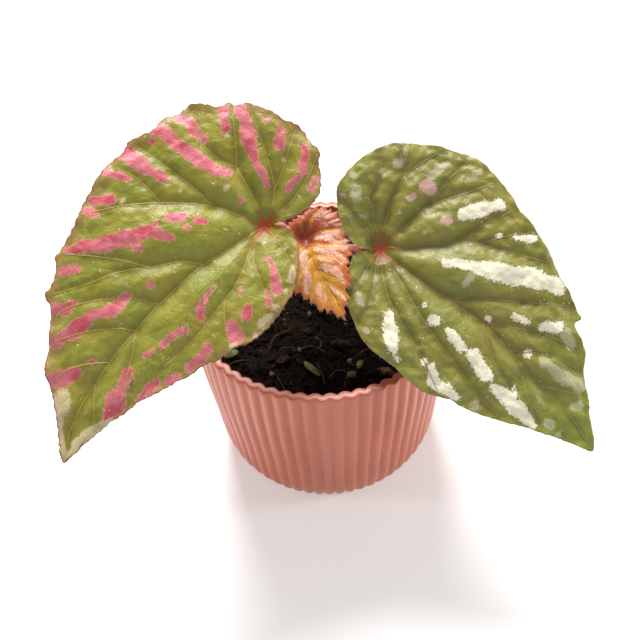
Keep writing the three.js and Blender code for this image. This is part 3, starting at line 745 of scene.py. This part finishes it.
def right_blade_finish():
    paint = Paint("grey-green blade with cream patches")
    where = paint.leaf_place()
    lines, fine_lines, height = blade_grain(paint, where)
    cloud = paint.noise(where, 0.05, 2.0)
    mottle = paint.noise(where, 0.4, 4.0, 0.65)
    from_vein = paint.attribute("from_vein")
    green = paint.mix(cloud.above(0.35, 0.65), (0.25, 0.215, 0.022), (0.19, 0.20, 0.018))
    green = paint.mix(mottle.above(0.3, 0.75) * 0.5, green, (0.29, 0.27, 0.09))
    # Painted shade: near-black olive laid along every vein, standing in for the shade in the folded valleys
    # beside it.
    green = paint.mix(from_vein.above(3.2, 0.3) * 0.5, green, (0.115, 0.095, 0.004))
    green = paint.mix(lines * 0.08, green, (0.30, 0.32, 0.12))
    green = paint.mix(fine_lines * 0.08, green, (0.10, 0.12, 0.02))
    tip = paint.node("ShaderNodeSeparateXYZ", {}, {0: where}, 0).above(55.0, 95.0)
    green = paint.mix(tip * 0.6, green, (0.19, 0.25, 0.025))
    cream = ragged(paint, where, "cream")
    beige = ragged(paint, where, "beige")
    rosy = ragged(paint, where, "rosy", 4.0)
    pores = paint.cells(where, 0.38).above(0.11, 0.05)
    milk = paint.mix(mottle.above(0.4, 0.75), (0.86, 0.82, 0.62), (0.74, 0.66, 0.52))
    milk = paint.mix(pores * 0.8, milk, (0.30, 0.26, 0.20))
    colour = paint.mix(beige * 0.65, green, (0.52, 0.47, 0.31))
    colour = paint.mix(rosy * 0.85, colour, (0.62, 0.36, 0.32))
    rim = paint.attribute("cream").above(-0.9, -0.3)
    colour = paint.mix(rim * 0.35, colour, (0.13, 0.12, 0.03))
    colour = paint.mix(cream, colour, milk)
    colour = paint.mix(pores * (beige + rosy) * 0.6, colour, (0.22, 0.18, 0.12))
    rare = paint.noise(where, 0.16, 1.0).above(0.56, 0.66)
    colour = paint.mix(paint.cells(where, 0.6).above(0.16, 0.1) * rare, colour, (0.74, 0.72, 0.42))
    from_edge = paint.attribute("from_edge")
    colour = paint.mix(from_edge.above(0.6, 0.2) * 0.7, colour, (0.33, 0.24, 0.12))
    heart = paint.near(where, (0, 0, 0))
    colour = paint.mix(heart.above(3.2, 1.2) * 0.9, colour, (0.55, 0.085, 0.035))
    under = paint.mix(mottle.above(0.35, 0.7), (0.25, 0.13, 0.075), (0.20, 0.18, 0.075))
    under = paint.mix(cream * 0.6, under, (0.60, 0.50, 0.38))
    under = paint.mix(from_vein.above(1.4, 0.2) * 0.5, under, (0.34, 0.10, 0.08))
    colour = paint.mix(paint.attribute("upper_side").above(0.4, 0.6), under, colour)
    gloss = mottle * 0.1 + 0.38
    return paint.finish(colour, gloss, height, 0.3 * MM, Specular_IOR_Level=0.45, Subsurface_Weight=0.08,
                        Subsurface_Radius=(1.0, 0.8, 0.3), Subsurface_Scale=1.2 * MM)


def young_blade_finish():
    paint = Paint("young orange blade")
    where = paint.leaf_place()
    height = blade_grain(paint, where)[2]
    mottle = paint.noise(where, 0.8, 4.0, 0.65)
    heart = paint.near(where, (0, 0, 0))
    from_edge = paint.attribute("from_edge")
    from_vein = paint.attribute("from_vein")
    gold = paint.mix(mottle.above(0.35, 0.7), (0.50, 0.20, 0.008), (0.60, 0.28, 0.02))
    lobe = paint.attribute("lobe").above(-1.5, 1.5)
    brick = paint.mix(mottle.above(0.4, 0.7), (0.25, 0.045, 0.014), (0.34, 0.085, 0.035))
    side = paint.node("ShaderNodeSeparateXYZ", {}, {0: where}, 1) + mottle * 2.0
    gold = paint.mix(side.above(0.5, 5.0) * 0.8, gold, (0.46, 0.10, 0.02))
    colour = paint.mix(lobe, gold, brick)
    colour = paint.mix(from_edge.above(4.5, 0.8) * 0.8, colour, (0.42, 0.11, 0.04))
    stripe = ragged(paint, where, "stripe", 3.5)
    blush = paint.mix(mottle.above(0.4, 0.65), (0.80, 0.50, 0.36), (0.70, 0.30, 0.22))
    colour = paint.mix(stripe * 0.92, colour, blush)
    colour = paint.mix(from_vein.above(0.9, 0.1) * 0.55, colour, (0.74, 0.40, 0.04))
    colour = paint.mix(from_edge.above(0.5, 0.15) * 0.8, colour, (0.40, 0.07, 0.04))
    # Red heart darkened to near black: partly the leaf's own red, partly painted shade of the deep funnel
    # where the veins meet.
    colour = paint.mix(heart.above(6.0, 0.8), colour, (0.16, 0.016, 0.005))
    under = paint.mix(mottle.above(0.35, 0.7), (0.50, 0.20, 0.10), (0.58, 0.30, 0.10))
    colour = paint.mix(paint.attribute("upper_side").above(0.4, 0.6), under, colour)
    return paint.finish(colour, mottle * 0.1 + 0.33, height, 0.3 * MM, Subsurface_Weight=0.12,
                        Subsurface_Radius=(1.0, 0.5, 0.2), Subsurface_Scale=1.2 * MM)


def vein_finish(name, heart_at, base, tip, blush_to):
    """Veins are red where they leave the stalk and pale further out."""
    paint = Paint(name)
    where = paint.place()
    far = paint.near(where, tuple(heart_at * MM))
    mottle = paint.noise(where, 700.0)
    colour = paint.mix(far.above(blush_to * 0.25 * MM, blush_to * MM), base, tip)
    colour = paint.mix(mottle.above(0.4, 0.7) * 0.3, colour, base)
    return paint.finish(colour, 0.42, mottle, 0.05 * MM, Subsurface_Weight=0.1,
                        Subsurface_Radius=(1.0, 0.5, 0.2), Subsurface_Scale=1.0 * MM)


def stalk_finish():
    paint = Paint("red leaf stalk")
    where = paint.place()
    streaks = paint.noise(paint.stretched(where, (900.0, 900.0, 160.0)), 1.0, 3.0)
    flecks = paint.cells(where, 1100.0).above(0.22, 0.12)
    colour = paint.mix(streaks.above(0.35, 0.65), (0.36, 0.07, 0.04), (0.48, 0.15, 0.08))
    colour = paint.mix(flecks * 0.55, colour, (0.70, 0.42, 0.30))
    return paint.finish(colour, 0.4, streaks, 0.12 * MM, Subsurface_Weight=0.12,
                        Subsurface_Radius=(1.0, 0.4, 0.2), Subsurface_Scale=1.5 * MM)


def stem_finish():
    paint = Paint("jointed stem")
    where = paint.place()
    bark = paint.noise(paint.stretched(where, (500.0, 500.0, 140.0)), 1.0, 5.0, 0.65)
    dots = paint.cells(where, 700.0).above(0.25, 0.12)
    colour = paint.mix(bark.above(0.35, 0.65), (0.23, 0.15, 0.07), (0.34, 0.27, 0.12))
    colour = paint.mix(dots * 0.5, colour, (0.50, 0.36, 0.24))
    return paint.finish(colour, 0.6, bark, 0.3 * MM)


def hair_finish():
    paint = Paint("stiff pale hair")
    tone = paint.noise(paint.place(), 300.0)
    return paint.finish(paint.mix(tone, (0.62, 0.30, 0.20), (0.78, 0.55, 0.42)), 0.5)


def dry_sheath_finish():
    paint = Paint("papery sheath")
    where = paint.place()
    fibres = paint.noise(paint.stretched(where, (1500.0, 1500.0, 200.0)), 1.0, 4.0)
    colour = paint.mix(fibres.above(0.35, 0.7), (0.50, 0.24, 0.16), (0.72, 0.50, 0.36))
    return paint.finish(colour, 0.65, fibres, 0.1 * MM)


def pot_finish():
    paint = Paint("terracotta-pink plastic")
    where = paint.place()
    cloud = paint.noise(where, 28.0, 3.0)
    grain = paint.noise(where, 2600.0, 2.0)
    scuffs = paint.noise(paint.stretched(where, (300.0, 300.0, 26.0)), 1.0, 4.0, 0.7)
    flow = paint.noise(paint.stretched(where, (70.0, 70.0, 9.0)), 1.0, 2.0)
    colour = paint.mix(cloud.above(0.35, 0.65), (0.43, 0.10, 0.046), (0.48, 0.122, 0.062))
    colour = paint.mix(flow.above(0.45, 0.7) * 0.25, colour, (0.58, 0.21, 0.145))
    colour = paint.mix(scuffs.above(0.66, 0.8) * 0.3, colour, (0.68, 0.36, 0.28))
    # Darker over the lowest 6 mm of the wall, next to the floor.
    near_floor = paint.node("ShaderNodeSeparateXYZ", {}, {0: where}, 2)
    colour = paint.mix(near_floor.above(6 * MM, 0.0) * 0.3, colour, (0.34, 0.13, 0.09))
    gloss = scuffs * 0.12 + 0.24 + cloud * 0.06
    return paint.finish(colour, gloss + 0.06, grain * 0.3 + flow * 0.7, 0.05 * MM, Subsurface_Weight=0.05,
                        Subsurface_Radius=(1.0, 0.4, 0.2), Subsurface_Scale=2.0 * MM)


def mix_finish():
    paint = Paint("dark potting mix")
    where = paint.place()
    crumbs = paint.noise(where, 420.0, 5.0, 0.7)
    lumps = paint.cells(where, 520.0)
    tone = paint.noise(where, 130.0, 3.0)
    colour = paint.mix(tone.above(0.35, 0.7), (0.0026, 0.0018, 0.0012), (0.011, 0.006, 0.0035))
    colour = paint.mix(crumbs.above(0.62, 0.78) * 0.5, colour, (0.028, 0.016, 0.009))
    return paint.finish(colour, crumbs * 0.2 + 0.75, crumbs + lumps * 0.7, 0.7 * MM,
                        Specular_IOR_Level=0.06)


def crumb_finish():
    paint = Paint("crumbs of peat and bark")
    where = paint.place()
    tone = paint.noise(where, 160.0, 2.0)
    rough = paint.noise(where, 1500.0, 4.0)
    pick = paint.attribute("tone")
    colour = paint.mix(tone.above(0.35, 0.7), (0.002, 0.0013, 0.0008), (0.008, 0.0045, 0.0025))
    colour = paint.mix(pick.above(0.8, 0.95) * 0.8, colour, (0.018, 0.009, 0.0045))
    colour = paint.mix(pick.above(0.975, 0.985), colour, (0.10, 0.075, 0.035))
    return paint.finish(colour, 0.85, rough, 0.2 * MM, Specular_IOR_Level=0.06)


def wood_finish(name, dark, light, along):
    paint = Paint(name)
    where = paint.place()
    grain = paint.noise(paint.stretched(where, along), 1.0, 5.0, 0.7)
    fine = paint.noise(where, 1800.0, 3.0)
    colour = paint.mix(grain.above(0.35, 0.65), dark, light)
    return paint.finish(colour, 0.85, grain + fine * 0.4, 0.3 * MM, Specular_IOR_Level=0.1)


def perlite_finish():
    paint = Paint("pale mineral lump")
    where = paint.place()
    holes = paint.cells(where, 2400.0)
    dirt = paint.noise(where, 900.0, 3.0)
    colour = paint.mix(dirt.above(0.4, 0.7), (0.16, 0.14, 0.11), (0.03, 0.022, 0.014))
    return paint.finish(colour, 0.9, holes, 0.3 * MM, Specular_IOR_Level=0.1)


def seedling_finish():
    paint = Paint("small fresh leaf")
    where = paint.place()
    tone = paint.noise(where, 500.0, 3.0)
    colour = paint.mix(tone.above(0.35, 0.65), (0.03, 0.045, 0.006), (0.10, 0.12, 0.022))
    return paint.finish(colour, 0.6, tone, 0.15 * MM, Specular_IOR_Level=0.2)


def floor_finish():
    paint = Paint("pale floor")
    tone = paint.noise(paint.place(), 6.0, 2.0)
    colour = paint.mix(tone, (0.86, 0.86, 0.855), (0.88, 0.88, 0.875))
    return paint.finish(colour, 0.7, Emission_Color=(1.0, 1.0, 1.0, 1.0), Emission_Strength=0.25)


# ---------------------------------------------------------------- pot

FLUTES = 60
STEPS_PER_FLUTE = 10
FLUTE_START = math.radians(-98.25)
FLUTE_DEPTH = 1.1
WALL = 2.8
FLOOR_THICKNESS = 2.6
DRAIN_RADIUS = 2.4
DRAIN_CIRCLE = 22
DRAINS = 6
pot_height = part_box("pot")[1].z / MM
rim_radius = 50.0
OUTER_WALL = [(39.5, 0), (44.2, 10), (46.6, 32), (48.8, 56), (rim_radius, pot_height)]


def pot_profile():
    """The pot's section from the middle of its underside round to the middle of its floor.

    Each point is a radius, a height, and how much of the outer or the inner fluting reaches it."""
    wall = curve_through(OUTER_WALL, 26)
    profile = [(0.0, 0.0, 0, 0), (20.0, 0.0, 0, 0), (36.0, 0.0, 0, 0), (37.6, 0.25, 0.25, 0),
               (39.0, 1.0, 0.7, 0)]
    outer = [(r, z) for r, z in wall if z > 1.8]
    profile += [(r, z, 1, 0) for r, z in outer[:-1]]
    top_r, top_z = outer[-1]
    soft = 0.45
    profile += [(top_r, top_z - soft, 1, 0), (top_r - 0.15, top_z - 0.12, 1, 0), (top_r - soft, top_z, 1, 0)]
    profile += [(top_r - WALL + soft, top_z, 0, 1), (top_r - WALL + 0.12, top_z - 0.15, 0, 1),
                (top_r - WALL, top_z - soft, 0, 1)]
    inner = [(r - WALL, z, 0, 1) for r, z in reversed(outer[:-1]) if z > FLOOR_THICKNESS + 2]
    profile += inner[::2]
    profile += [(37.0, FLOOR_THICKNESS + 0.6, 0, 0.6), (34.0, FLOOR_THICKNESS, 0, 0),
                (0.0, FLOOR_THICKNESS, 0, 0)]
    return np.array(profile)


def make_pot():
    profile = pot_profile()
    columns = FLUTES * STEPS_PER_FLUTE

    def place(column, row):
        angle = FLUTE_START + 2 * np.pi * column / columns
        phase = FLUTES / 2 * (angle - FLUTE_START)
        radius, height, outer, inner = profile[row].T
        shift = outer * (1 - np.abs(np.cos(phase))) + inner * np.abs(np.sin(phase))
        radius = np.where(radius > 0, radius - FLUTE_DEPTH * shift, 0)
        spot = np.stack([radius * np.cos(angle), radius * np.sin(angle), height], 1) * MM
        return spot, []

    bm = bmesh.new()
    rolled_grid(bm, columns, len(profile) - 1, place)
    bmesh.ops.recalc_face_normals(bm, faces=bm.faces)
    pot = new_piece("fluted_pot", bm, pot_finish())
    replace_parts(pot, "pot")

    cutter_bm = bmesh.new()
    for index in range(DRAINS):
        angle = index * 2 * math.pi / DRAINS
        spot = Vector((DRAIN_CIRCLE * math.cos(angle), DRAIN_CIRCLE * math.sin(angle), 0)) * MM
        bmesh.ops.create_cone(cutter_bm, cap_ends=True, segments=40, radius1=DRAIN_RADIUS * MM,
                              radius2=DRAIN_RADIUS * MM, depth=12 * MM, matrix=Matrix.Translation(spot))
    cutter_mesh = bpy.data.meshes.new("drains")
    cutter_bm.to_mesh(cutter_mesh)
    cutter_bm.free()
    cutter = bpy.data.objects.new("drains", cutter_mesh)
    bpy.context.scene.collection.objects.link(cutter)
    cut = pot.modifiers.new("drains", "BOOLEAN")
    cut.operation = "DIFFERENCE"
    cut.object = cutter
    cut.solver = "EXACT"
    bpy.context.view_layer.update()
    finished = bpy.data.meshes.new_from_object(pot.evaluated_get(bpy.context.evaluated_depsgraph_get()))
    pot.modifiers.clear()
    pot.data = finished
    bpy.data.objects.remove(cutter)
    return pot


# ---------------------------------------------------------------- potting mix

SOIL_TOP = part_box("potting_mix")[1].z
SOIL_EDGE_DROP = 2.0 * MM
soil_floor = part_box("potting_mix")[0].z
soil_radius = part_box("potting_mix")[1].x
STEM_FOOT = (2.6 * MM, 12.6 * MM)
BANK_HEIGHT = 1.6 * MM
BANK_WIDTH = 6.5 * MM
CRUMBS = 2200


def soil_height(x, y):
    """The crumbly top of the mix, in metres: it falls a little to the wall and banks up at the stem."""
    out = min(1.0, max(0.0, (math.hypot(x, y) - 18 * MM) / (27 * MM)))
    base = SOIL_TOP - SOIL_EDGE_DROP * out
    coarse = noise.noise(Vector((x, y, 0.0)) * 90.0) * 0.9 * MM
    middle = noise.noise(Vector((x, y, 0.03)) * 330.0) * 0.7 * MM
    fine = noise.noise(Vector((x, y, 0.07)) * 1100.0) * 0.3 * MM
    from_stem = math.hypot(x - STEM_FOOT[0], y - STEM_FOOT[1])
    bank = BANK_HEIGHT * math.exp(-(from_stem / BANK_WIDTH) ** 2)
    return base + coarse + middle + fine + bank - 0.4 * MM


def make_mix():
    bm = bmesh.new()
    rings = 90
    columns = 260
    wall = [(radius - WALL - FLUTE_DEPTH - 0.25, z) for radius, z in OUTER_WALL]
    rim = np.interp(SOIL_TOP / MM, [z for _, z in wall], [radius for radius, _ in wall])

    def place(column, row):
        angle = 2 * np.pi * column / columns
        top = row <= rings
        share = np.where(top, row / rings, 0) ** 0.8
        radius = rim * share
        height = np.zeros(len(row))
        for index in np.nonzero(top)[0]:
            x = radius[index] * math.cos(angle[index]) * MM
            y = radius[index] * math.sin(angle[index]) * MM
            height[index] = soil_height(x, y) / MM
        lower = {rings + 1: (rim, 60.0), rings + 2: (wall[2][0], 32.0), rings + 3: (wall[1][0], 10.0),
                 rings + 4: (35.0, soil_floor / MM), rings + 5: (0.0, soil_floor / MM)}
        for key, (wide, low) in lower.items():
            radius = np.where(row == key, wide, radius)
            height = np.where(row == key, low, height)
        spot = np.stack([radius * np.cos(angle), radius * np.sin(angle), height], 1) * MM
        return spot, []

    rolled_grid(bm, columns, rings + 5, place)
    bmesh.ops.recalc_face_normals(bm, faces=bm.faces)
    piece = new_piece("crumbly_mix", bm, mix_finish())
    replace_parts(piece, "potting_mix")
    return rim * MM


def make_crumbs(reach):
    """Loose crumbs, each a small lump squashed and turned at random."""
    chance = random.Random(CHANCE_SEED)
    bm = bmesh.new()
    tone = bm.verts.layers.float.new("tone")
    for _ in range(CRUMBS):
        radius = reach * math.sqrt(chance.random()) * 0.985
        angle = chance.uniform(0, 2 * math.pi)
        x, y = radius * math.cos(angle), radius * math.sin(angle)
        size = (0.3 + 1.5 * chance.random() ** 3) * MM
        squash = Matrix.Diagonal((chance.uniform(0.7, 1.8), chance.uniform(0.6, 1.1),
                                  chance.uniform(0.4, 0.8), 1.0))
        turn = Matrix.Rotation(chance.uniform(0, math.pi), 4, "Z")
        tilt = Matrix.Rotation(chance.uniform(-0.6, 0.6), 4, "X")
        spot = Matrix.Translation((x, y, soil_height(x, y) + size * 0.2))
        made = bmesh.ops.create_icosphere(bm, subdivisions=1, radius=size, matrix=spot @ turn @ tilt @ squash)
        shade = chance.random()
        for vert in made["verts"]:
            vert[tone] = shade
            vert.co += noise.noise_vector(vert.co * 900.0) * size * 0.35
    new_piece("mix_crumbs", bm, crumb_finish(), smooth=False)


def make_fibres(reach):
    """Fine fibres that lie across the mix."""
    chance = random.Random(CHANCE_SEED + 1)
    for name, count, thickness, finish in (
            ("dark_fibres", 150, 0.13, wood_finish("dark fibre", (0.008, 0.005, 0.003), (0.03, 0.018, 0.01),
                                                  (900.0, 900.0, 900.0))),
            ("pale_fibres", 26, 0.10, wood_finish("pale fibre", (0.07, 0.05, 0.03), (0.18, 0.13, 0.085),
                                                  (900.0, 900.0, 900.0)))):
        bm = bmesh.new()
        for _ in range(count):
            radius = reach * math.sqrt(chance.random()) * 0.86
            angle = chance.uniform(0, 2 * math.pi)
            x, y = radius * math.cos(angle), radius * math.sin(angle)
            heading = chance.uniform(0, 2 * math.pi)
            bend = chance.uniform(-0.45, 0.45)
            points = []
            for _ in range(6):
                if math.hypot(x, y) > reach * 0.96:
                    break
                points.append((x, y, soil_height(x, y) + 0.35 * MM))
                x += 1.4 * MM * math.cos(heading)
                y += 1.4 * MM * math.sin(heading)
                heading += bend
            if len(points) > 3:
                route = curve_through(points, 10)
                add_tube(bm, route, np.full(len(route), thickness * MM * chance.uniform(0.6, 1.5)), 5)
        new_piece(name, bm, finish)


def refined(node, name, material, cuts, rough, scale, smoothing=1, lift=0.0):
    """A finer, weathered copy of one of the model's own loose pieces."""
    bm = bmesh.new()
    bm.from_mesh(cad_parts[node].data)
    bmesh.ops.remove_doubles(bm, verts=bm.verts, dist=0.005 * MM)
    low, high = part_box(node)
    longest = max(high - low)
    long_edges = [edge for edge in bm.edges if edge.calc_length() > longest * 0.12]
    bmesh.ops.subdivide_edges(bm, edges=long_edges, cuts=cuts, use_grid_fill=True)
    bmesh.ops.triangulate(bm, faces=bm.faces)
    for _ in range(smoothing):
        bmesh.ops.smooth_vert(bm, verts=bm.verts, factor=0.5, use_axis_x=True, use_axis_y=True,
                              use_axis_z=True)
    for vert in bm.verts:
        vert.co += noise.noise_vector(vert.co * scale) * rough
        vert.co.z += lift
    bmesh.ops.recalc_face_normals(bm, faces=bm.faces)
    piece = new_piece(name, bm, material)
    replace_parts(piece, node)
    return piece


def make_loose_pieces():
    bark_grain = (900.0, 260.0, 500.0)
    twig_grain = (400.0, 400.0, 1200.0)
    dark_bark = wood_finish("composted bark", (0.007, 0.004, 0.002), (0.03, 0.015, 0.007), bark_grain)
    pale_bark = wood_finish("weathered bark", (0.05, 0.028, 0.015), (0.17, 0.10, 0.065), bark_grain)
    dry_twig = wood_finish("dry twig", (0.012, 0.007, 0.004), (0.05, 0.028, 0.015), twig_grain)
    lump = perlite_finish()
    fresh = seedling_finish()
    for node in sorted(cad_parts):
        if node.startswith("bark_chip"):
            bark = pale_bark if node == "bark_chip_2" else dark_bark
            refined(node, node + "_weathered", bark, 3, 0.9 * MM, 520.0, 0, -0.7 * MM)
        elif node.startswith("twig"):
            refined(node, node + "_weathered", dry_twig, 1, 0.25 * MM, 500.0, 1, -0.5 * MM)
        elif node.startswith("perlite"):
            refined(node, node + "_weathered", lump, 3, 0.45 * MM, 900.0, 1, -0.5 * MM)
        elif node.startswith("seedling_leaf"):
            refined(node, node + "_fresh", fresh, 1, 0.3 * MM, 300.0, 0, 0.1 * MM)


# ---------------------------------------------------------------- stem, stalks and tip

STEM_PATH = [(2.6, 12.6, 68.0), (2.6, 12.6, 72.6), (2.2, 11.6, 84), (1.6, 10.6, 94), (1.3, 10.0, 97.4)]
LEFT_STALK = [(-13.6, -3, 117.6), (-11, 5, 108), (-4, 8.6, 97.4), (0.2, 10.2, 93.4)]
RIGHT_STALK = [(14.4, -3.4, 104.2), (9.8, 2.2, 99.6), (6.4, 8, 92), (3.4, 10.4, 87.6)]
YOUNG_STALK = [(-2.5, 1.8, 105.4), (-0.4, 5.4, 102.4), (0.8, 8, 98.4), (1.4, 9.6, 95.6)]


def make_stem():
    steps = 60
    route = wavering(curve_through(np.array(STEM_PATH) * MM, steps), 0.25 * MM, 120.0, 3)
    share = np.linspace(0, 1, steps + 1)
    radii = 3.9 - 0.7 * share
    for joint in (0.34, 0.60, 0.82, 0.97):
        radii = radii + 0.35 * np.exp(-((share - joint) / 0.035) ** 2)
    radii = radii * (1 - 0.25 * np.clip((share - 0.95) / 0.05, 0, 1))
    bm = bmesh.new()
    add_tube(bm, route, radii * MM, 28)
    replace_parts(new_piece("jointed_stem", bm, stem_finish()), "stem")


def make_stalk(node, blade, path, radius, flare, material, hair_count):
    """A stalk that swells where it leaves the stem and opens out under its blade."""
    steps = 56
    heart = np.zeros((1, 2))
    under_heart = blade.spots(heart, blade.height(heart) - 0.8 * radius - 0.1)[0]
    route = curve_through([under_heart, *(np.array(path) * MM)], steps)
    shifted = wavering(route, 0.2 * MM, 110.0, len(node))
    route = np.array([under_heart, *shifted[1:]])
    share = np.linspace(0, 1, steps + 1)
    radii = radius + flare * np.exp(-((share - 0.06) / 0.04) ** 2) + 0.9 * np.exp(-((1 - share) / 0.09) ** 2)
    bm = bmesh.new()
    add_tube(bm, route, radii * MM, 20)
    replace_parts(new_piece(node + "_fleshy", bm, material), node)
    chance = random.Random(node)
    hairs = bmesh.new()
    for _ in range(hair_count):
        index = chance.randrange(3, steps - 6)
        tangent = Vector(route[index + 1] - route[index]).normalized()
        around = tangent.orthogonal()
        around.rotate(Matrix.Rotation(chance.uniform(0, 2 * math.pi), 3, tangent))
        root = Vector(route[index]) + around * radii[index] * 0.95 * MM
        direction = (around + tangent * chance.uniform(-0.5, 0.3)).normalized()
        add_hair(hairs, root, direction, chance.uniform(0.6, 1.4) * MM, 0.05 * MM)
    new_piece(node + "_hairs", hairs, hair_finish(), smooth=False)


# ---------------------------------------------------------------- camera, light and floor

def make_stage():
    scene = bpy.context.scene
    elevation, roll, distance = math.radians(49.3), math.radians(3.64), 0.350
    focus = Vector((-1.07, 0, 64.1)) * MM
    focal_length = 51.1875
    view = Vector((0, math.cos(elevation), -math.sin(elevation)))
    lifted = Vector((0, math.sin(elevation), math.cos(elevation)))
    level = Vector((1, 0, 0))
    right_hand = level * math.cos(roll) - lifted * math.sin(roll)
    upward = level * math.sin(roll) + lifted * math.cos(roll)
    lens = bpy.data.cameras.new("camera")
    lens.lens = focal_length
    lens.sensor_width = 36
    lens.clip_start = 0.01
    camera = bpy.data.objects.new("camera", lens)
    axes = Matrix((right_hand, upward, -view)).transposed()
    camera.matrix_world = Matrix.Translation(focus - view * distance) @ axes.to_4x4()
    scene.collection.objects.link(camera)
    scene.camera = camera

    bm = bmesh.new()
    bmesh.ops.create_grid(bm, x_segments=2, y_segments=2, size=4.0)
    mesh = bpy.data.meshes.new("floor")
    bm.to_mesh(mesh)
    bm.free()
    mesh.materials.append(floor_finish())
    floor = bpy.data.objects.new("floor", mesh)
    scene.collection.objects.link(floor)

    add_light("window_above", (-0.05, 0.50, 0.82), 0.40, 14.5)
    add_light("side_left", (-0.75, -0.05, 0.25), 0.16, 1.5)
    add_light("side_right", (0.75, -0.05, 0.25), 0.2, 2.4)
    add_light("front_fill", (0.0, -0.85, 0.5), 0.9, 1.6)
    world = bpy.data.worlds.new("studio")
    world.use_nodes = True
    world.node_tree.nodes["Background"].inputs[0].default_value = (1.0, 1.0, 1.0, 1.0)
    world.node_tree.nodes["Background"].inputs[1].default_value = 0.28
    scene.world = world
    scene.view_settings.view_transform = "Standard"


def add_light(name, place, size, power):
    light = bpy.data.lights.new(name, "AREA")
    light.shape = "DISK"
    light.size = size
    light.energy = power
    holder = bpy.data.objects.new(name, light)
    holder.location = place
    holder.rotation_euler = (Vector((0, 0, 0.08)) - Vector(place)).to_track_quat("-Z", "Y").to_euler()
    bpy.context.scene.collection.objects.link(holder)


# ---------------------------------------------------------------- putting it together

make_stage()
make_pot()
soil_reach = make_mix()
make_crumbs(soil_reach)
make_fibres(soil_reach)
make_loose_pieces()
make_stem()

red_stalk = stalk_finish()
make_stalk("left_leaf_stalk", left, LEFT_STALK, 1.55, 0.7, red_stalk, 150)
make_stalk("right_leaf_stalk", right, RIGHT_STALK, 1.5, 0.7, red_stalk, 130)
make_stalk("young_leaf_stalk", young, YOUNG_STALK, 1.05, 0.5, red_stalk, 70)

left_patches = {"pink": LEFT_PINK, "pale": LEFT_PALE}
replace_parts(make_blade("left_leaf", left, 420, 88, left_patches, left_blade_finish()),
            "left_leaf_blade")
right_patches = {"cream": RIGHT_CREAM, "beige": RIGHT_BEIGE, "rosy": RIGHT_ROSY}
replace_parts(make_blade("right_leaf", right, 420, 88, right_patches, right_blade_finish()),
            "right_leaf_blade")
young_patches = {"stripe": YOUNG_STRIPES, "lobe": [[(-4, 1, 5.5), (0, 8, 6)]]}
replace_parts(make_blade("young_leaf", young, 300, 50, young_patches, young_blade_finish()),
            "young_leaf_blade")

left_vein = vein_finish("straw vein", left.stalk_end, (0.52, 0.08, 0.012), (0.41, 0.33, 0.07), 11)
right_vein = vein_finish("rosy vein", right.stalk_end, (0.50, 0.08, 0.035), (0.27, 0.205, 0.07), 10)
young_vein = vein_finish("golden vein", young.stalk_end, (0.28, 0.035, 0.01), (0.62, 0.30, 0.02), 14)
make_veins("left_leaf_veins", left, 0.44, left_vein)
make_veins("right_leaf_veins", right, 0.38, right_vein)
make_veins("young_leaf_veins", young, 0.26, young_vein)
pale_hair = hair_finish()
make_edge_hairs("left_leaf_hairs", left, 3, 0.9, pale_hair)
make_edge_hairs("right_leaf_hairs", right, 5, 0.5, pale_hair)
make_edge_hairs("young_leaf_hairs", young, 2, 1.0, pale_hair)

papery = dry_sheath_finish()
refined("left_sheath", "left_papery_sheath", papery, 2, 0.2 * MM, 400.0)
refined("right_sheath", "right_papery_sheath", papery, 2, 0.2 * MM, 400.0)
refined("tip_bud", "folded_tip_bud", red_stalk, 2, 0.2 * MM, 400.0)
